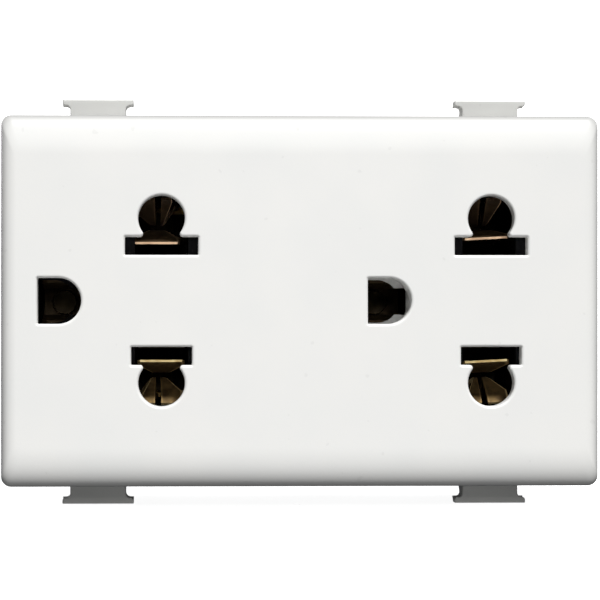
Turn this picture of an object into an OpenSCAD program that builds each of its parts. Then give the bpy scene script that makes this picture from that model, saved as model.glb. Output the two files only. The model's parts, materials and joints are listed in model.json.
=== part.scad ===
// Snap-in duplex wall outlet for a support frame.
// The origin is at the middle of the seat plane, where the cover bears on the frame.
// The face looks towards -Y, +X is to the right as seen from the front, and +Z is up.

/* [Front cover] */
// Width of the face
face_w = 69.2; // [68.4:0.1:84]
// Height of the face
face_h = 42.9; // [42.3:0.1:52]
// Depth from the seat plane to the face
front_depth = 9; // [8.2:0.1:11]
// Thickness of the face
face_wall = 2.1; // [1.8:0.1:2.6]
// Thickness of the cover's sides, which is also the width of the seat rim
skirt_wall = 1.6; // [1.2:0.1:2]
// Radius of the cover's corners as seen from the front
corner_r = 1.2; // [0.6:0.1:3]
// How far the crowned top and bottom edges reach in from the outline
crown_run = 4.4; // [2:0.1:5]
// How far the rounded left and right edges reach in from the outline
side_run = 1.75; // [1:0.05:3]
// How far the rounded edges fall back from the face
crown_drop = 1.5; // [0.8:0.1:1.7]

/* [Receptacles] */
// Distance between the two receptacles
receptacle_pitch = 38.1; // [31:0.1:38.6]
// How far the pair of blade lines sits to the right of the middle
pattern_shift = 2.97; // [2.6:0.01:4]
// Height of the round holes above and below the middle
pin_z = 9.5; // [9.3:0.05:10]
// Radius of the round holes
pin_hole_r = 2.68; // [2.5:0.01:2.9]
// Distance from a round hole's centre to the middle of its blade slot
slot_offset = 3.15; // [3.05:0.05:3.3]
// Height of the blade slots
slot_h = 2.1; // [1.8:0.05:2.3]
// Width of the upper, neutral slots
neutral_slot_w = 8.45; // [7.2:0.05:9]
// Width of the lower, line slots
line_slot_w = 7; // [6.6:0.05:8]
// Width of the neck between a round hole and its slot
neck_w = 4.2; // [3.6:0.05:4.6]
// Distance from the blade line to the earth hole, to the left
earth_offset = 11.9; // [11.5:0.05:12]
// Radius of the round side of the earth holes
earth_hole_r = 2.65; // [2.45:0.01:2.7]
// Distance from the centre of that radius to the flat side
earth_flat = 2.38; // [2.2:0.01:2.45]
// Depth of the earth holes' collars behind the face's front
collar_depth = 7.6; // [4.8:0.1:8]
// Thickness of the collars' sides
collar_wall = 0.65; // [0.5:0.05:0.7]
// Thickness of the collars' floors
collar_floor = 0.8; // [0.6:0.1:1]
// Widening of the earth holes at each moulded step inside the collar
collar_step = 0.1; // [0.05:0.01:0.1]
// Height of the slot in the collars' floors
floor_slot = 3.1; // [2.6:0.1:3.6]

/* [Rear body] */
// Depth of the body behind the seat plane
body_depth = 25; // [24.4:0.1:30]
// How far the body reaches forward inside the cover
spigot = 3; // [2:0.1:3.4]
// Thickness of the body's walls
body_wall = 1.6; // [1.2:0.1:1.7]
// Thickness of the ribs and the latch pockets' sides
rib_wall = 1.2; // [0.9:0.1:1.3]
// Gap between the body and the cover's sides
cover_clear = 0.1; // [0.05:0.01:0.2]
// Gap between the contact carrier and what surrounds it
carrier_clear = 0.2; // [0.1:0.05:0.3]

/* [Latches] */
// Distance between the left and right latches
latch_pitch = 46.9; // [45:0.1:47.5]
// How far the latches stand to the right of the cover's middle
latch_shift = -0.2; // [-0.3:0.1:0.3]
// Width of the tongue and of the neck below the bar
latch_neck_w = 6.65; // [5:0.05:7.8]
// Width of the bar at the latch's tip
latch_bar_w = 8.5; // [8:0.05:10.2]
// Thickness of the bar
latch_bar = 0.72; // [0.5:0.02:1]
// How far the tip stands out beyond the cover
latch_reach = 2.65; // [1.6:0.05:2.8]
// Gap between the seat plane and the latch, which holds the frame's edge
grip_gap = 2.2; // [2.1:0.05:3]
// Thickness of the tongue
tongue = 1.2; // [0.9:0.05:1.3]
// Radius of the bead that the tongue turns on
bead_r = 1.25; // [1.1:0.05:1.3]
// Gap around the bead
bead_clear = 0.05; // [0.03:0.01:0.08]
// Distance from the seat plane to the bead's axis
bead_y = 17.6; // [16.6:0.1:18]
// Depth of the space that the tongue swings into
swing_room = 3.6; // [3.55:0.05:3.8]
// Thickness of the latch pockets' floors
pocket_wall = 1; // [0.8:0.05:1.1]

/* [Contacts] */
// Thickness of the contact sheet
sheet = 0.5; // [0.4:0.05:0.55]
// Thickness of the bus bars
bus = 0.9; // [0.7:0.05:1]
// Width of the bus bars
bus_w = 4.4; // [3.6:0.1:4.8]
// Distance from the face to the front edges of the blade contacts
contact_front = 3.2; // [3.1:0.05:3.6]
// Distance from the face to where the blade contacts grip
contact_grip = 8.5; // [8:0.1:9]
// Width of the gap between a contact's two petals
petal_gap = 0.74; // [0.5:0.02:1]
// Turn of the right-hand blade contacts on their rivets, in degrees
contact_turn = 3; // [0:0.5:4]
// Radius of the rivets' shanks
rivet_r = 1; // [0.8:0.05:1.1]
// Radius of the rivets' heads
rivet_head_r = 1.5; // [1.3:0.05:1.7]

/* [Terminals] */
// Radius of the terminal screws' shanks
screw_r = 1.75; // [1.5:0.05:1.8]
// Radius of the terminal screws' heads
screw_head_r = 3.25; // [3.2:0.05:3.4]
// Height of the terminal screws' heads
screw_head = 2.2; // [1.8:0.1:2.4]
// Length of the terminal screws under the head
screw_length = 9.8; // [9.2:0.1:10.4]
// Radius of the driver holes in the rear wall
driver_hole_r = 3; // [2.95:0.01:3.1]
// Wire space between the bus bar and the open clamp plate
wire_gap = 4.2; // [4.15:0.05:4.4]
// Side of the square clamp plates
clamp_side = 8; // [6.6:0.05:8.2]
// Thickness of the clamp plates
clamp_plate = 1.2; // [1:0.05:1.3]
// How far the clamp plates travel towards the bus bar
clamp_travel = 2.4; // [1:0.1:2.6]
// Side of the square nuts
nut_side = 5.5; // [5:0.1:5.7]
// Thickness of the nuts
nut = 2.4; // [2:0.1:2.8]
// Gap around a shank in its thread or plate
screw_clear = 0.05; // [0.02:0.01:0.1]

/* [Housing screws] */
// Radius of the housing screws' shanks
tie_r = 1.1; // [0.9:0.05:1.2]
// Radius of the housing screws' heads
tie_head_r = 1.9; // [1.6:0.05:2]
// Height of the housing screws' heads
tie_head = 1.4; // [1:0.05:1.5]
// Radius of the bosses they run through
boss_r = 1.9; // [1.8:0.05:2]
// Distance of the bosses' axes from the body's outer faces
boss_inset = 2.7; // [2.65:0.05:2.9]

/* [Hidden] */
$fn = 48;
left = -1;
right = 1;
lower = -1;
upper = 1;
sides = [left, right];
poles = [lower, upper];
cut = 0.5; // how far a cutting shape runs past a face
crown_steps = 8;
graze = 0.005;
floor_shift = 0.75;
floor_grow = -0.13;

// Front to back, along Y
face_y = -front_depth;
face_back = face_y + face_wall;
collar_back = face_y + collar_depth;
floor_y = collar_back - collar_floor;
spigot_y = -spigot;
carrier_back = 12.6;
contact_back = carrier_back + sheet;
bus_back = contact_back + bus;
clamp_y = bus_back + wire_gap;
head_y = clamp_y + clamp_plate;
rear_inside = body_depth - body_wall;

// Across the body
body_w = face_w - 2 * (skirt_wall + cover_clear);
body_h = face_h - 2 * (skirt_wall + cover_clear);
inside_w = body_w - 2 * body_wall;
inside_h = body_h - 2 * body_wall;
boss_x = body_w / 2 - boss_inset;
boss_z = body_h / 2 - boss_inset;

// Latch pockets, measured outwards from the middle
tongue_sink = 0.25;
tongue_out = body_h / 2 - tongue_sink;
tongue_in = tongue_out - tongue;
pocket_floor = tongue_in - swing_room;
pocket_in = pocket_floor - pocket_wall;
pocket_gap = 0.35;
pocket_w = latch_bar_w + 2 * pocket_gap;
pocket_y = 1;
pocket_end = bead_y + 1.8;
bead_z = tongue_in + 0.1;

// Contact carrier and the chambers in it
carrier_w = inside_w - 2 * carrier_clear;
carrier_h = 2 * (pocket_in - carrier_clear);
chamber_half = 3.1;
chamber_out = 3;
chamber_in = 5.2;
earth_chamber = [2.5, 3];
foot = 2.1; // distance of a leaf's foot from the rivet

// Receptacles and terminals
function blade_x(side) = pattern_shift + side * receptacle_pitch / 2;
function earth_x(side) = blade_x(side) - earth_offset;
earth_terminal_x = inside_w / 2 - clamp_side / 2 - 0.5;
terminals = [[pattern_shift, lower * pin_z], [pattern_shift, upper * pin_z], [earth_terminal_x, 0]];
rivets = concat(
    [for (side = sides, pole = poles) [blade_x(side), pole * pin_z]],
    [for (side = sides) [earth_x(side), 0]]
);

// ---- helpers ----

// Extrude a shape drawn in Y and Z along X, about x = 0
module along_x(width) {
    rotate([90, 0, 90]) linear_extrude(width, center = true) children();
}

// Extrude a shape drawn in X and Z from y = from to y = to
module along_y(from, to) {
    translate([0, to, 0]) rotate([90, 0, 0]) linear_extrude(to - from) children();
}

// Round bar along Y
module bar_y(r, from, to) {
    along_y(from, to) circle(r = r);
}

module at(place) {
    translate([place[0], 0, place[1]]) children();
}

// Frame of one blade contact: +Z of the children points from the round hole to the slot
module at_pole(side, pole) {
    at([blade_x(side), pole * pin_z]) rotate([0, pole == upper ? 180 : 0, 0]) children();
}

module rounded_rect(w, h, r) {
    square([w - 2 * r, h], center = true);
    square([w, h - 2 * r], center = true);
    for (x = sides, y = sides)
        translate([x * (w / 2 - r), y * (h / 2 - r)]) circle(r = r);
}

// Rounded edge from the side at half to the flat face, as points of y and distance
function crown(half, run, turn) = [
    for (i = [0:crown_steps])
        let (a = turn * i * 90 / crown_steps + (turn < 0 ? 90 : 0))
        [face_y + crown_drop * (1 - sin(a)), half - run * (1 - cos(a))]
];

function crowned(half, run) = concat(
    [[0, half]],
    crown(half, run, 1),
    [for (p = crown(half, run, -1)) [p[0], -p[1]]],
    [[0, -half]]
);

// Outline of a sheet of thickness t that follows points p
function unit(v) = v / norm(v);
function side_of(a, b) = let (d = unit(b - a)) [-d[1], d[0]];
function mitre(p, i) =
    i == 0 ? side_of(p[0], p[1])
    : i == len(p) - 1 ? side_of(p[i - 1], p[i])
    : let (n = unit(side_of(p[i - 1], p[i]) + side_of(p[i], p[i + 1])))
      n / (n * side_of(p[i], p[i + 1]));
function strip(p, t) = concat(
    [for (i = [0:len(p) - 1]) p[i] + mitre(p, i) * t / 2],
    [for (i = [len(p) - 1:-1:0]) p[i] - mitre(p, i) * t / 2]
);

// Bent leaf: path in Y and Z, and half its outline in X and Y, seen along Z
module leaf(path, half_outline) {
    intersection() {
        along_x(20) polygon(strip(path, sheet));
        linear_extrude(30, center = true) {
            polygon(half_outline);
            mirror([1, 0]) polygon(half_outline);
        }
    }
}

// ---- holes in the face ----

module pin_and_blade(slot_w) {
    circle(r = pin_hole_r);
    translate([-slot_w / 2, slot_offset - slot_h / 2]) square([slot_w, slot_h]);
    translate([-neck_w / 2, 0]) square([neck_w, slot_offset]);
}

// Round on the right and square on the left, with the straight sides a hair inside the circle's
// top and bottom so that they cross it instead of only touching it
module earth_shape(grow = 0) {
    half = earth_hole_r + grow - graze;
    intersection() {
        circle(r = earth_hole_r + grow);
        translate([0, -5]) square([5, 10]);
    }
    translate([-earth_flat - grow, -half]) square([earth_flat + grow + 0.1, 2 * half]);
}

// Way through a collar's floor, which leaves a ledge to either side of a slot on the right
module floor_shape() {
    intersection() {
        translate([-floor_shift, 0]) earth_shape(floor_grow);
        translate([-earth_flat, -5]) square([10, 10]);
    }
    translate([0, -floor_slot / 2]) square([earth_hole_r, floor_slot]);
}

module face_holes() {
    for (side = sides) {
        at_pole(side, upper) along_y(face_y - cut, face_back + cut) pin_and_blade(neutral_slot_w);
        at_pole(side, lower) along_y(face_y - cut, face_back + cut) pin_and_blade(line_slot_w);
        at([earth_x(side), 0]) {
            along_y(face_y - cut, floor_y) earth_shape();
            along_y(face_back, floor_y) earth_shape(collar_step);
            along_y((face_back + floor_y) / 2, floor_y) earth_shape(2 * collar_step);
            along_y(floor_y - cut, collar_back + cut) floor_shape();
        }
    }
}

// ---- insulating parts ----

module at_bosses() {
    for (x = sides, z = sides) at([x * boss_x, z * boss_z]) children();
}

module cover_shell() {
    difference() {
        intersection() {
            along_y(face_y, 0) rounded_rect(face_w, face_h, corner_r);
            along_x(face_w + 2) polygon(crowned(face_h / 2, crown_run));
            linear_extrude(face_h + 2, center = true)
                polygon([for (p = crowned(face_w / 2, side_run)) [p[1], p[0]]]);
        }
        along_y(face_back, cut)
            square([face_w - 2 * skirt_wall, face_h - 2 * skirt_wall], center = true);
    }
}

module front_cover() {
    color("whitesmoke") difference() {
        union() {
            cover_shell();
            at_bosses() bar_y(boss_r, face_back - cut, spigot_y);
            for (side = sides)
                at([earth_x(side), 0])
                    along_y(face_back - cut, collar_back)
                        earth_shape(collar_wall + 2 * collar_step);
        }
        face_holes();
        at_bosses() bar_y(tie_r + screw_clear, face_y + 1.1, spigot_y + cut);
    }
}

module contact_carrier() {
    collar_room = collar_wall + 2 * collar_step + carrier_clear;
    color("#222222") difference() {
        along_y(face_back, carrier_back) square([carrier_w, carrier_h], center = true);
        for (side = sides, pole = poles)
            at_pole(side, pole) along_y(face_back - cut, carrier_back + cut)
                translate([-chamber_half, -chamber_out])
                    square([2 * chamber_half, chamber_out + chamber_in]);
        for (side = sides) at([earth_x(side), 0]) {
            along_y(face_back - cut, collar_back + carrier_clear) earth_shape(collar_room);
            along_y(face_back - cut, carrier_back + cut)
                translate([-earth_chamber[0], -earth_chamber[1]])
                    square([earth_chamber[0] + earth_chamber[1], 2 * earth_chamber[1]]);
        }
        for (place = terminals) at(place) {
            along_y(contact_back - nut, carrier_back + cut)
                square(nut_side + 2 * screw_clear, center = true);
            bar_y(screw_r + 0.4, head_y - screw_length - clamp_travel - 0.5, carrier_back);
        }
    }
}

// Box sunk into the top of the body, open outwards, with the seat of the latch's bead in it
module at_latch(side, pole) {
    translate([latch_shift + side * latch_pitch / 2, 0, 0]) mirror([0, 0, pole == lower ? 1 : 0]) children();
}

module pocket_box() {
    along_y(pocket_y - rib_wall, pocket_end + rib_wall)
        translate([-pocket_w / 2 - rib_wall, pocket_in])
            square([pocket_w + 2 * rib_wall, body_h / 2 - pocket_in]);
}

module pocket_space() {
    difference() {
        along_y(pocket_y, pocket_end)
            translate([-pocket_w / 2, pocket_floor])
                square([pocket_w, body_h / 2 - pocket_floor + cut]);
        along_x(pocket_w + cut) {
            translate([bead_y - 1.8, 0]) square([1.81, bead_z - 0.7]);
            translate([bead_y, 0]) square([pocket_end - bead_y + cut, bead_z + 0.5]);
        }
    }
    translate([0, bead_y, bead_z]) rotate([0, 90, 0])
        cylinder(r = bead_r + bead_clear, h = pocket_w, center = true);
}

// Walls of one terminal's bay: two guide ribs beside the clamp plate and one behind it
module terminal_bay(reach) {
    inner = clamp_side / 2 + 0.15;
    along_y(bus_back, rear_inside + cut) {
        for (x = sides)
            translate([x * (inner + rib_wall / 2) - rib_wall / 2, -inner - rib_wall])
                square([rib_wall, reach + inner + rib_wall]);
        translate([-inner, -inner - rib_wall]) square([2 * inner, rib_wall]);
    }
}

// Window for the wire, through the wall that the bay reaches
module wire_window(reach) {
    inner = clamp_side / 2 + 0.15;
    along_y(bus_back - 0.05, clamp_y + 0.4)
        translate([-inner, reach - cut]) square([2 * inner, body_wall + 2 * cut]);
}

// Frame of one terminal: +Z of the children points to the wall that the wire comes through
module at_terminal(i) {
    at(terminals[i]) rotate([0, [180, 0, 90][i], 0]) children();
}

function bay_reach(i) =
    i == 2 ? inside_w / 2 - earth_terminal_x : inside_h / 2 - pin_z;

module rear_body() {
    hold_ribs = [blade_x(left) + 4.6, blade_x(right) - 5.5];
    color("gainsboro") difference() {
        intersection() {
            along_y(spigot_y, body_depth) square([body_w, body_h], center = true);
            union() {
                difference() {
                    along_y(spigot_y - cut, body_depth) square([body_w, body_h], center = true);
                    along_y(spigot_y - 2 * cut, rear_inside)
                        square([inside_w, inside_h], center = true);
                }
                for (side = sides, pole = poles) at_latch(side, pole) pocket_box();
                at_bosses() bar_y(boss_r, spigot_y, body_depth);
                at_bosses() bar_y(tie_head_r + 0.9, body_depth - 3, body_depth);
                for (x = hold_ribs)
                    translate([x, 0, 0]) along_y(bus_back, rear_inside + cut)
                        square([rib_wall, inside_h + cut], center = true);
                for (i = [0:2]) at_terminal(i) terminal_bay(bay_reach(i) + cut);
            }
        }
        for (side = sides, pole = poles) at_latch(side, pole) pocket_space();
        for (i = [0:2]) at_terminal(i) wire_window(bay_reach(i));
        for (place = terminals)
            at(place) bar_y(driver_hole_r, rear_inside - cut, body_depth + cut);
        at_bosses() bar_y(tie_r + 0.1, spigot_y - cut, body_depth);
        at_bosses() bar_y(tie_head_r + 0.2, body_depth - tie_head - 0.2, body_depth + cut);
    }
}

// ---- current-carrying parts ----

module blade_bus(pole) {
    color("goldenrod") difference() {
        at([0, pole * pin_z]) along_y(contact_back, bus_back) {
            translate([blade_x(left) - 3, -bus_w / 2])
                square([receptacle_pitch + 6, bus_w]);
            translate([pattern_shift, 0]) square(clamp_side, center = true);
        }
        for (side = sides)
            at([blade_x(side), pole * pin_z])
                bar_y(rivet_r + screw_clear, contact_back - cut, bus_back + cut);
        at([pattern_shift, pole * pin_z])
            bar_y(screw_r + 2 * screw_clear, contact_back - cut, bus_back + cut);
    }
}

module earth_bus() {
    start = earth_x(left) - 2.7;
    color("goldenrod") difference() {
        along_y(contact_back, bus_back) {
            translate([start, -bus_w / 2]) square([earth_terminal_x - start, bus_w]);
            translate([earth_terminal_x, 0])
                translate([-nut_side / 2, -nut_side / 2])
                    square([nut_side / 2 + clamp_side / 2, nut_side]);
        }
        for (side = sides)
            at([earth_x(side), 0])
                bar_y(rivet_r + screw_clear, contact_back - cut, bus_back + cut);
        at([earth_terminal_x, 0])
            bar_y(screw_r + 2 * screw_clear, contact_back - cut, bus_back + cut);
    }
}

// Sheet contact with a split pair of petals, a middle leaf and a leaf behind the blade
module blade_contact(side, pole) {
    front = face_y + contact_front;
    grip = face_y + contact_grip;
    root = carrier_back + sheet / 2;
    wide = 2.75;
    color("#b8923c") at_pole(side, pole) rotate([0, side == right ? -contact_turn : 0, 0]) {
        // middle leaf, between the round pin and the blade
        leaf(
            [[front, 2.6], [grip, 1.2], [grip + 3.5, foot], [root, foot]],
            [[0, front - 1], [wide - 0.6, front - 1], [wide - 0.6, front], [wide, front + 0.6],
             [wide, front + 1.1], [0.8, grip], [1.6, grip + 1.5], [wide, grip + 4], [wide, root + 1],
             [0, root + 1]]
        );
        // two petals on the far side of the round pin
        leaf(
            [[front + 0.5, -2.45], [grip, 0.5], [grip + 4, -foot], [root, -foot]],
            [[petal_gap / 2, front - 1], [wide - 0.5, front - 1], [wide - 0.5, front + 0.6],
             [wide - 0.3, front + 1.2], [1, grip], [1.7, grip + 1.5], [wide, grip + 4],
             [wide, root + 1], [petal_gap / 2, root + 1]]
        );
        // leaf behind the blade
        leaf(
            [[front, 4.75], [grip + 5, 4.1], [root, 4.5]],
            [[0, front - 1], [wide, front - 1], [wide, root + 1], [0, root + 1]]
        );
        difference() {
            along_y(carrier_back, contact_back)
                translate([-3.4, -foot - sheet / 2]) square([6.8, foot + 4.5 + sheet]);
            bar_y(rivet_r + screw_clear, carrier_back - cut, contact_back + cut);
        }
    }
}

// Clip of two leaves above and below the earth pin
module earth_contact(side) {
    front = collar_back + 1;
    root = carrier_back + sheet / 2;
    wide = 2.2;
    color("#b8923c") at([earth_x(side), 0]) {
        for (z = sides) mirror([0, 0, z == lower ? 1 : 0])
            leaf(
                [[front, 2.5], [front + 4.5, 1.8], [front + 7.5, foot], [root, foot]],
                [[0, front - 1], [wide - 0.6, front - 1], [wide - 0.6, front], [wide, front + 0.6],
                 [wide, root + 1], [0, root + 1]]
            );
        difference() {
            along_y(carrier_back, contact_back)
                translate([-2.7, -foot - sheet / 2]) square([6.1, 2 * foot + sheet]);
            bar_y(rivet_r + screw_clear, carrier_back - cut, contact_back + cut);
        }
    }
}

module contact_rivets() {
    color("silver") for (place = rivets) at(place) {
        bar_y(rivet_r, carrier_back - 0.6, bus_back + 0.6);
        bar_y(rivet_head_r, carrier_back - 0.6, carrier_back);
        bar_y(rivet_head_r, bus_back, bus_back + 0.6);
    }
}

// ---- terminals ----

module clamp_plate_at(i) {
    color("#c9b06a") at_terminal(i) difference() {
        along_y(clamp_y, head_y) square(clamp_side, center = true);
        bar_y(screw_r + 2 * screw_clear, clamp_y - cut, head_y + cut);
        // grip grooves across the wire
        for (z = sides) along_y(clamp_y - cut, clamp_y + 0.25)
            translate([-clamp_side / 2 - cut, z * 2.7 - 0.35]) square([clamp_side + 2 * cut, 0.7]);
    }
}

module terminal_screw_at(i) {
    top = head_y + screw_head;
    color("silver") at(terminals[i]) difference() {
        union() {
            bar_y(screw_r, head_y - screw_length, head_y);
            bar_y(screw_head_r, head_y, top - 0.4);
            translate([0, top - 0.4, 0]) rotate([-90, 0, 0])
                cylinder(r1 = screw_head_r, r2 = screw_head_r - 0.4, h = 0.4);
        }
        along_y(top - 1.1, top + cut) square([2 * screw_head_r + 1, 1], center = true);
        along_y(top - 1.4, top + cut) square([1, 3.8], center = true);
    }
}

module terminal_nuts() {
    color("silver") for (place = terminals) at(place) difference() {
        along_y(contact_back - nut, contact_back) square(nut_side, center = true);
        bar_y(screw_r + screw_clear, contact_back - nut - cut, contact_back + cut);
    }
}

// ---- latches and housing screws ----

// Latch tongue with a bead at its root and a T-shaped catch at its tip
module latch(side, pole) {
    tip_z = face_h / 2 + latch_reach;
    neck_top = tip_z - latch_bar;
    blend = 0.5;
    color("lightgray") at_latch(side, pole) {
        along_x(latch_neck_w) {
            translate([grip_gap - 0.6, tongue_in]) square([bead_y - grip_gap + 0.6, tongue]);
        }
        translate([0, bead_y, bead_z]) rotate([0, 90, 0])
            cylinder(r = bead_r, h = latch_neck_w, center = true);
        intersection() {
            along_y(grip_gap, grip_gap + 9) {
                translate([-latch_neck_w / 2, tongue_out - 0.1])
                    square([latch_neck_w, tip_z - tongue_out + 0.1]);
                translate([-latch_bar_w / 2, neck_top]) square([latch_bar_w, latch_bar]);
                for (x = sides) difference() {
                    translate([x * latch_neck_w / 2 - (x < 0 ? blend : 0), neck_top - blend])
                        square(blend);
                    translate([x * (latch_neck_w / 2 + blend), neck_top - blend])
                        circle(r = blend);
                }
            }
            along_x(latch_bar_w + 2) polygon([
                [grip_gap, tongue_in], [grip_gap, tip_z], [grip_gap + 1.6, tip_z],
                [grip_gap + 8, tongue_out - 0.1], [grip_gap + 8, tongue_in]
            ]);
        }
    }
}

module housing_screws() {
    top = body_depth - 0.2;
    color("silver") at_bosses() difference() {
        union() {
            bar_y(tie_r, face_y + 1.4, top);
            bar_y(tie_head_r, top - tie_head, top);
        }
        along_y(top - 0.8, top + cut) square([2.4, 0.6], center = true);
        along_y(top - 0.8, top + cut) square([0.6, 2.4], center = true);
    }
}

front_cover();
contact_carrier();
rear_body();
blade_bus(lower);  // line_bus
blade_bus(upper);  // neutral_bus
earth_bus();
blade_contact(left, lower);  // line_contact_left
blade_contact(right, lower);  // line_contact_right
blade_contact(left, upper);  // neutral_contact_left
blade_contact(right, upper);  // neutral_contact_right
earth_contact(left);  // earth_contact_left
earth_contact(right);  // earth_contact_right
contact_rivets();
clamp_plate_at(0);  // line_clamp_plate
clamp_plate_at(1);  // neutral_clamp_plate
clamp_plate_at(2);  // earth_clamp_plate
terminal_screw_at(0);  // line_terminal_screw
terminal_screw_at(1);  // neutral_terminal_screw
terminal_screw_at(2);  // earth_terminal_screw
terminal_nuts();
latch(left, upper);  // upper_left_latch
latch(right, upper);  // upper_right_latch
latch(left, lower);  // lower_left_latch
latch(right, lower);  // lower_right_latch
housing_screws();
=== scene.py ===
import json
import math

import bmesh
import bpy
import numpy as np
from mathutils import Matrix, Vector
from mathutils.geometry import delaunay_2d_cdt


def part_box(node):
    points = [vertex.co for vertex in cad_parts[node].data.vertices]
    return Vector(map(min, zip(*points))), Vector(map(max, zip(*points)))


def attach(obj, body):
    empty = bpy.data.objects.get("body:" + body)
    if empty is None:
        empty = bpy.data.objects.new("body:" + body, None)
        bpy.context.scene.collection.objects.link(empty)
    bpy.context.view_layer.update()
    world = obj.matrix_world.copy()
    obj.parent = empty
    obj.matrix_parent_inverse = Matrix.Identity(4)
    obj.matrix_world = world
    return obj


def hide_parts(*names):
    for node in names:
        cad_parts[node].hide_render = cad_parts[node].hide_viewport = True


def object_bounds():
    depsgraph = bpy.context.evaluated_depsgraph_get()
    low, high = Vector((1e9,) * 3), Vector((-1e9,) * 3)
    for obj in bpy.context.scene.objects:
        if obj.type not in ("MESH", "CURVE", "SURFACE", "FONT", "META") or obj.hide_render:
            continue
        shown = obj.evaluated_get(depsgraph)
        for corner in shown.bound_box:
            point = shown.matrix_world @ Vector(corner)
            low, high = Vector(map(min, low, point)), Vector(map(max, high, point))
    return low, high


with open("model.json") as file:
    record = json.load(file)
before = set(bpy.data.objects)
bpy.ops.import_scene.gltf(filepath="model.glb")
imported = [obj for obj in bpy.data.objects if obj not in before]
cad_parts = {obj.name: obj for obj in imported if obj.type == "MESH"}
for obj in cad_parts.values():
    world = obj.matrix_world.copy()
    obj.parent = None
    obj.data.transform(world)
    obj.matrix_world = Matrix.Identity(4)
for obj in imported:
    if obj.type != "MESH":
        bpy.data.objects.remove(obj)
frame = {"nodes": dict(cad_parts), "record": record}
cadLow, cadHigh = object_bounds()

# A snap-in duplex wall outlet. Shapes are worked out in millimetres and put into meshes in metres.
# The face looks towards -Y, X runs to the right and Z up, and y = 0 is the seat on the support frame.
mm = 0.001
arcStep = 7.5  # degrees between points on rounded outlines
weldGap = 0.002  # points closer than this are one point
mounts = {mount["name"]: [c / mm for c in mount["pos_m"]] for mount in frame["record"]["mounts"]}


def span(node):  # lowest and highest corner of a CAD node, in millimetres
    low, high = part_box(node)
    return np.array(low) / mm, np.array(high) / mm


coverLow, coverHigh = span("front_cover")
faceY = coverLow[1]
sides = {"left": -1, "right": 1}
poles = {"line": -1, "neutral": 1}
bladeX = {side: mounts[side + "_receptacle"][0] for side in sides}


# Points along arcs (centre, radius, first and last angle), with straight lines between them, and
# each point's direction out of the outline; an arc that runs clockwise is a hollow corner
def arcs(*parts):
    spots, outs = [], []
    for cx, cz, radius, first, last in parts:
        count = max(2, math.ceil(abs(last - first) / arcStep))
        angle = np.radians(np.linspace(first, last, count + 1))
        ring = np.stack([np.cos(angle), np.sin(angle)], -1)
        spots.append(np.array([cx, cz]) + radius * ring)
        outs.append(np.sign(last - first) * ring)
    spots, outs = np.concatenate(spots), np.concatenate(outs)
    apart = np.linalg.norm(spots - np.roll(spots, 1, axis=0), axis=1) > weldGap
    return spots[apart], outs[apart]


# Rectangle from its half sizes: four quarter circles, joined by its straight sides
def roundedRect(halfW, halfH, radius):
    x, z = halfW - radius, halfH - radius
    return arcs((x, -z, radius, -90, 0), (x, z, radius, 0, 90), (-x, z, radius, 90, 180),
                (-x, -z, radius, 180, 270))


# One full arc round the origin
def circle(radius):
    return arcs((0, 0, radius, 0, 360))


# The outline moved to a place, and turned half round if flipped
def moved(outline, x, z, flipped=False):
    turn = -1 if flipped else 1
    return np.array([x, z]) + turn * outline[0], turn * outline[1]


# Every point moved the same distance out of the outline, along its own direction
def grown(outline, distance):
    return outline[0] + distance * outline[1]


# Profile of a quarter round between a flat face and a wall: distance out of the outline and depth
def rim(radius, depth, steps=6, inwards=1):
    angle = np.linspace(0, math.pi / 2, steps + 1)
    return np.stack([radius * (1 - np.sin(angle)), depth + inwards * radius * (1 - np.cos(angle))], -1)


# The outline carried along a profile: row i is the outline grown by profile[i][0] at depth profile[i][1]
def carried(outline, profile):
    profile = np.asarray(profile, float)
    flat = outline[0][None] + profile[:, :1, None] * outline[1][None]
    depth = np.broadcast_to(profile[:, 1][:, None], flat.shape[:2])
    return np.stack([flat[..., 0], depth, flat[..., 1]], -1)


# Which points lie inside the edges, by counting the edges that a line to the right crosses
def inside(points, edges):
    px, pz = points[:, :1], points[:, 1:]
    ax, az, bx, bz = edges[:, 0, 0], edges[:, 0, 1], edges[:, 1, 0], edges[:, 1, 1]
    straddles = (az > pz) != (bz > pz)
    rise = np.where(bz == az, 1, bz - az)
    return (straddles & (px < ax + (pz - az) * (bx - ax) / rise)).sum(1) % 2 == 1


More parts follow.
